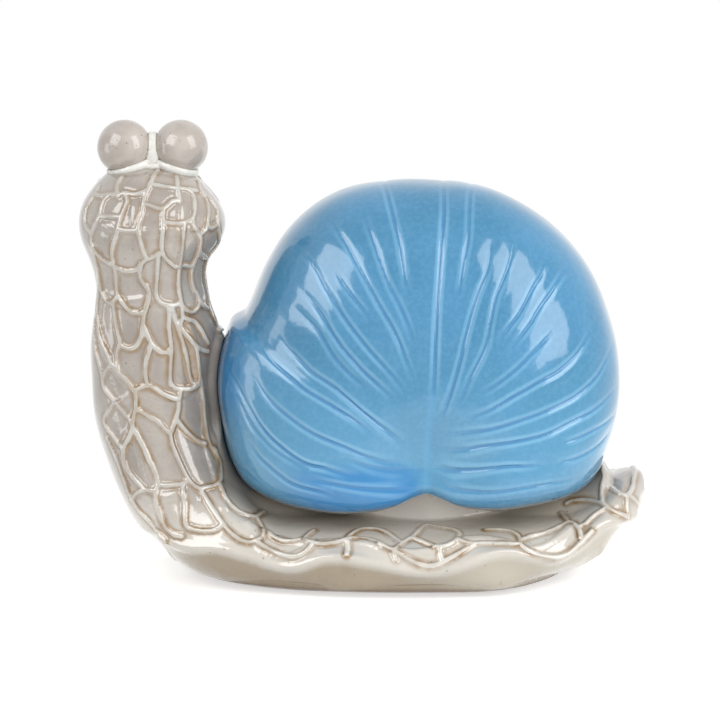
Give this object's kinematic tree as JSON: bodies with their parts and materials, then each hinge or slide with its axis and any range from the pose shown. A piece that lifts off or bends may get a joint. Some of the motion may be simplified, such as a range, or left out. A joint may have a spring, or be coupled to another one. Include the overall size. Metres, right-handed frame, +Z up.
{
  "type": "snail figurine",
  "caption": "Glazed stoneware snail with a raised net over its body, ball eyes and a glossy pleated shell, standing on a flat base.",
  "frame": {"origin": "middle of the flat base, on the surface that the snail stands on", "axes": "+X from the head to the tail, +Y away from the side that is seen with the head on the left, +Z up"},
  "size_m": [0.2016, 0.104, 0.1632],
  "materials": {
    "body_glaze": "gloss",
    "shell_glaze": "gloss",
    "eye_glaze": "gloss",
    "slip_glaze": "gloss",
    "bare_slip": "matte"
  },
  "bodies": {
    "root": {"body_casting": "body_glaze", "shell_casting": "shell_glaze", "left_eye_ball": "eye_glaze", "right_eye_ball": "eye_glaze", "eye_slip_bead": "slip_glaze", "shell_slip_seam": "bare_slip"}
  },
  "joints": []
}
